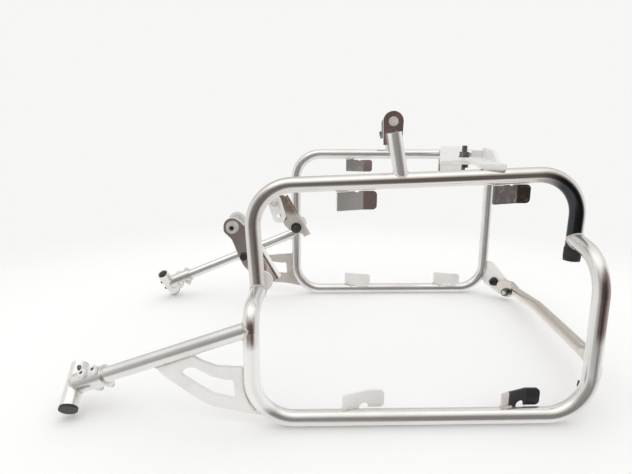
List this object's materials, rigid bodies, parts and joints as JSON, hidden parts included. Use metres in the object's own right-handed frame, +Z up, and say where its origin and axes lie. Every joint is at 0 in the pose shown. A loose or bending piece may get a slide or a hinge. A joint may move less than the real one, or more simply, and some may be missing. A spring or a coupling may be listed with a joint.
{
  "type": "motorbike pannier frame",
  "caption": "Welded tube frame that carries side panniers: two side loops with hook tabs, front arms with clamp ends, and bolted cross links.",
  "frame": {"origin": "middle of the underside of the whole part", "axes": "+X towards the bike's rear, +Y from the near side loop to the far one, +Z up"},
  "size_m": [0.684, 0.4771, 0.3435],
  "materials": {
    "tube_steel": "polished stainless tube, lightly brushed",
    "plate_steel": "satin stainless plate",
    "bright_fasteners": "bright stainless",
    "dark_steel": "dark oiled steel",
    "black_steel": "black coated steel",
    "black_plastic": "moulded, matt",
    "black_rubber": "matt rubber"
  },
  "bodies": {
    "root": {"near_upper_hoop": "plate_steel", "near_lower_hoop": "plate_steel", "far_loop": "tube_steel", "hoop_end_plug": "black_plastic", "tab_near_top_front": "plate_steel", "tab_near_top_rear": "plate_steel", "tab_near_low_front": "plate_steel", "tab_near_low_rear": "plate_steel", "tab_far_top_front": "plate_steel", "tab_far_top_rear": "plate_steel", "tab_far_low_front": "plate_steel", "tab_far_low_rear": "plate_steel", "near_upright": "plate_steel", "far_upright": "tube_steel", "near_eyelet": "plate_steel", "far_eyelet": "plate_steel", "near_eyelet_screw": "bright_fasteners", "far_upright_bolt": "black_steel", "near_arm": "plate_steel", "far_arm": "tube_steel", "near_gusset": "plate_steel", "far_gusset": "plate_steel", "near_sleeve": "plate_steel", "far_sleeve": "tube_steel", "near_cross_tube": "plate_steel", "far_cross_tube": "tube_steel", "near_cross_plug": "black_plastic", "far_cross_plug": "black_plastic", "clamp_bolts": "bright_fasteners", "clamp_nuts": "bright_fasteners", "cross_tube_screws": "black_steel", "near_bracket_plate": "plate_steel", "far_bracket_plate": "plate_steel", "near_link_plate": "plate_steel", "far_link_plate": "plate_steel", "near_link_spacer": "tube_steel", "far_link_spacer": "tube_steel", "near_ear": "plate_steel", "far_ear": "plate_steel", "near_ear_spacer": "tube_steel", "far_ear_spacer": "tube_steel", "link_bolts": "bright_fasteners", "link_washers": "bright_fasteners", "link_nuts": "bright_fasteners", "ear_bolts": "dark_steel", "rubber_washers": "black_rubber", "plate_screws": "black_steel", "crossbar": "tube_steel", "near_corner_bracket": "plate_steel", "far_corner_bracket": "plate_steel", "bar_bolts": "bright_fasteners", "bar_nuts": "black_steel", "corner_bolts": "black_steel", "corner_nuts": "black_steel", "near_rear_strip": "plate_steel", "far_rear_strip": "plate_steel", "strip_bolt": "dark_steel", "strip_washer": "dark_steel", "strip_nut": "dark_steel"}
  },
  "joints": []
}
